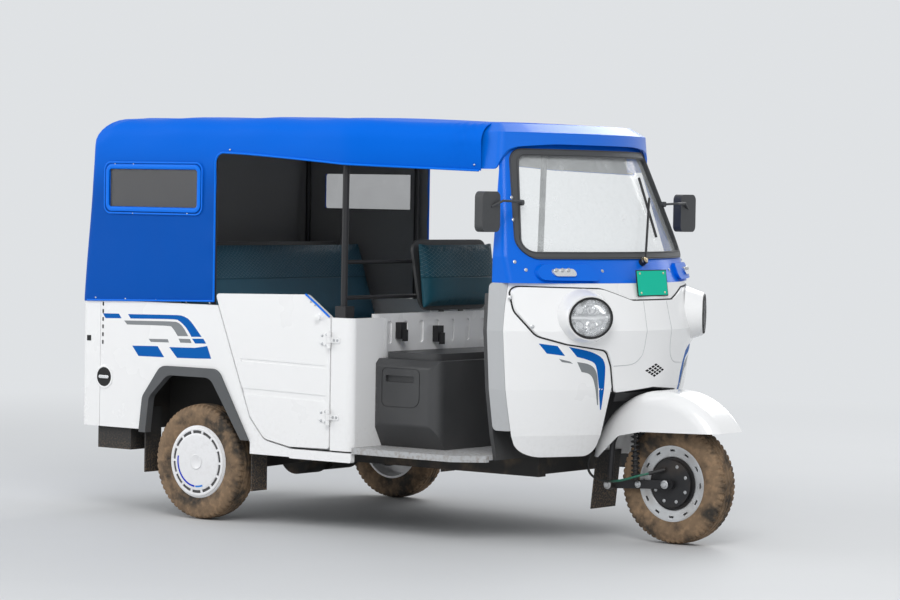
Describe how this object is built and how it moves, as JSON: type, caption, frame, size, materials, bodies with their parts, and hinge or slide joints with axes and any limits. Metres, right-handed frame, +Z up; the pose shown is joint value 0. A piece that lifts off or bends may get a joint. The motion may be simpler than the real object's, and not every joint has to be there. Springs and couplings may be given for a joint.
{
  "type": "auto rickshaw",
  "caption": "Electric passenger three-wheeler with a blue fabric canopy over a tube frame, moulded white front, hinged half doors, bench seat and a steered front wheel.",
  "frame": {"origin": "on the ground under the middle of the vehicle's length and width", "axes": "+X towards the front, +Y to the left, +Z up"},
  "size_m": [2.9618, 1.58, 1.7565],
  "materials": {
    "white_paint": "gloss",
    "white_gloss": "gloss",
    "blue_paint": "gloss",
    "canopy_vinyl": "satin",
    "window_film": "satin",
    "frame_black": "satin",
    "floor_paint": "satin",
    "dark_plastic": "satin",
    "flare_plastic": "satin",
    "red_lens": "gloss",
    "clear_lens": "gloss",
    "plate_green": "satin",
    "rubber": "matt",
    "screen_glass": "gloss",
    "seat_vinyl": "satin",
    "tyre": "matt",
    "wheel_silver": "satin",
    "wheel_white": "gloss"
  },
  "bodies": {
    "chassis": {"main_frame": "frame_black", "floors": "floor_paint", "wheelhouses": "floor_paint", "bulkhead": "dark_plastic", "wheel_well": "dark_plastic", "side_panels": "white_paint", "arch_flares": "flare_plastic", "rear_panels": "white_paint", "tail_lamps": "red_lens", "partition": "white_paint", "latches": "frame_black", "post_hinges": "white_paint", "front_cowl": "white_paint", "cowl_strips": "white_paint", "nose_fascia": "white_gloss", "headlamp_rims": "dark_plastic", "headlamp_lenses": "clear_lens", "front_plate": "plate_green", "screen_frame": "blue_paint", "indicator_lenses": "clear_lens", "screen_seal": "rubber", "screen_glass": "screen_glass", "wiper": "frame_black", "mirrors": "dark_plastic", "roof_visor": "blue_paint", "canopy_roof": "canopy_vinyl", "canopy_curtains": "canopy_vinyl", "canopy_windows": "window_film", "canopy_rails": "frame_black", "canopy_bows": "frame_black", "canopy_posts": "frame_black", "post_tubes": "frame_black", "guard_rails": "frame_black", "rear_cushion": "seat_vinyl", "rear_backrest": "seat_vinyl", "driver_seat_box": "dark_plastic", "driver_backrest": "seat_vinyl", "backrest_shell": "dark_plastic", "rear_axle": "frame_black", "mud_flaps": "rubber"},
    "right_door": {"door_right": "white_paint"},
    "left_door": {"door_left": "white_paint"},
    "steering": {"fork": "frame_black", "front_links": "frame_black", "front_dampers": "frame_black", "front_fender": "white_gloss", "front_flap": "rubber", "handlebar": "frame_black", "brake_hose": "rubber"},
    "front_wheel": {"front_tyre": "tyre", "front_wheel": "wheel_silver"},
    "right_wheel": {"rear_tyre_right": "tyre", "rear_wheel_right": "wheel_white"},
    "left_wheel": {"rear_tyre_left": "tyre", "rear_wheel_left": "wheel_white"}
  },
  "joints": [
    {"name": "right_door_hinge", "type": "hinge", "parent": "chassis", "child": "right_door", "pos_m": [-0.03097, -0.7635, 0.6], "axis": [0, 0, 1], "range_deg": [0, 80]},
    {"name": "left_door_hinge", "type": "hinge", "parent": "chassis", "child": "left_door", "pos_m": [-0.03097, 0.7635, 0.6], "axis": [0, 0, -1], "range_deg": [0, 80]},
    {"name": "steering_axis", "type": "hinge", "parent": "chassis", "child": "steering", "pos_m": [1.25743, 0, 0], "axis": [-0.4226, 0, 0.9063], "range_deg": [-40, 40]},
    {"name": "front_wheel_spin", "type": "hinge", "parent": "steering", "child": "front_wheel", "pos_m": [1.22542, 0, 0.25], "axis": [0, 1, 0], "continuous": true},
    {"name": "right_wheel_spin", "type": "hinge", "parent": "chassis", "child": "right_wheel", "pos_m": [-0.78258, -0.6755, 0.25], "axis": [0, 1, 0], "continuous": true},
    {"name": "left_wheel_spin", "type": "hinge", "parent": "chassis", "child": "left_wheel", "pos_m": [-0.78258, 0.6755, 0.25], "axis": [0, 1, 0], "continuous": true}
  ]
}
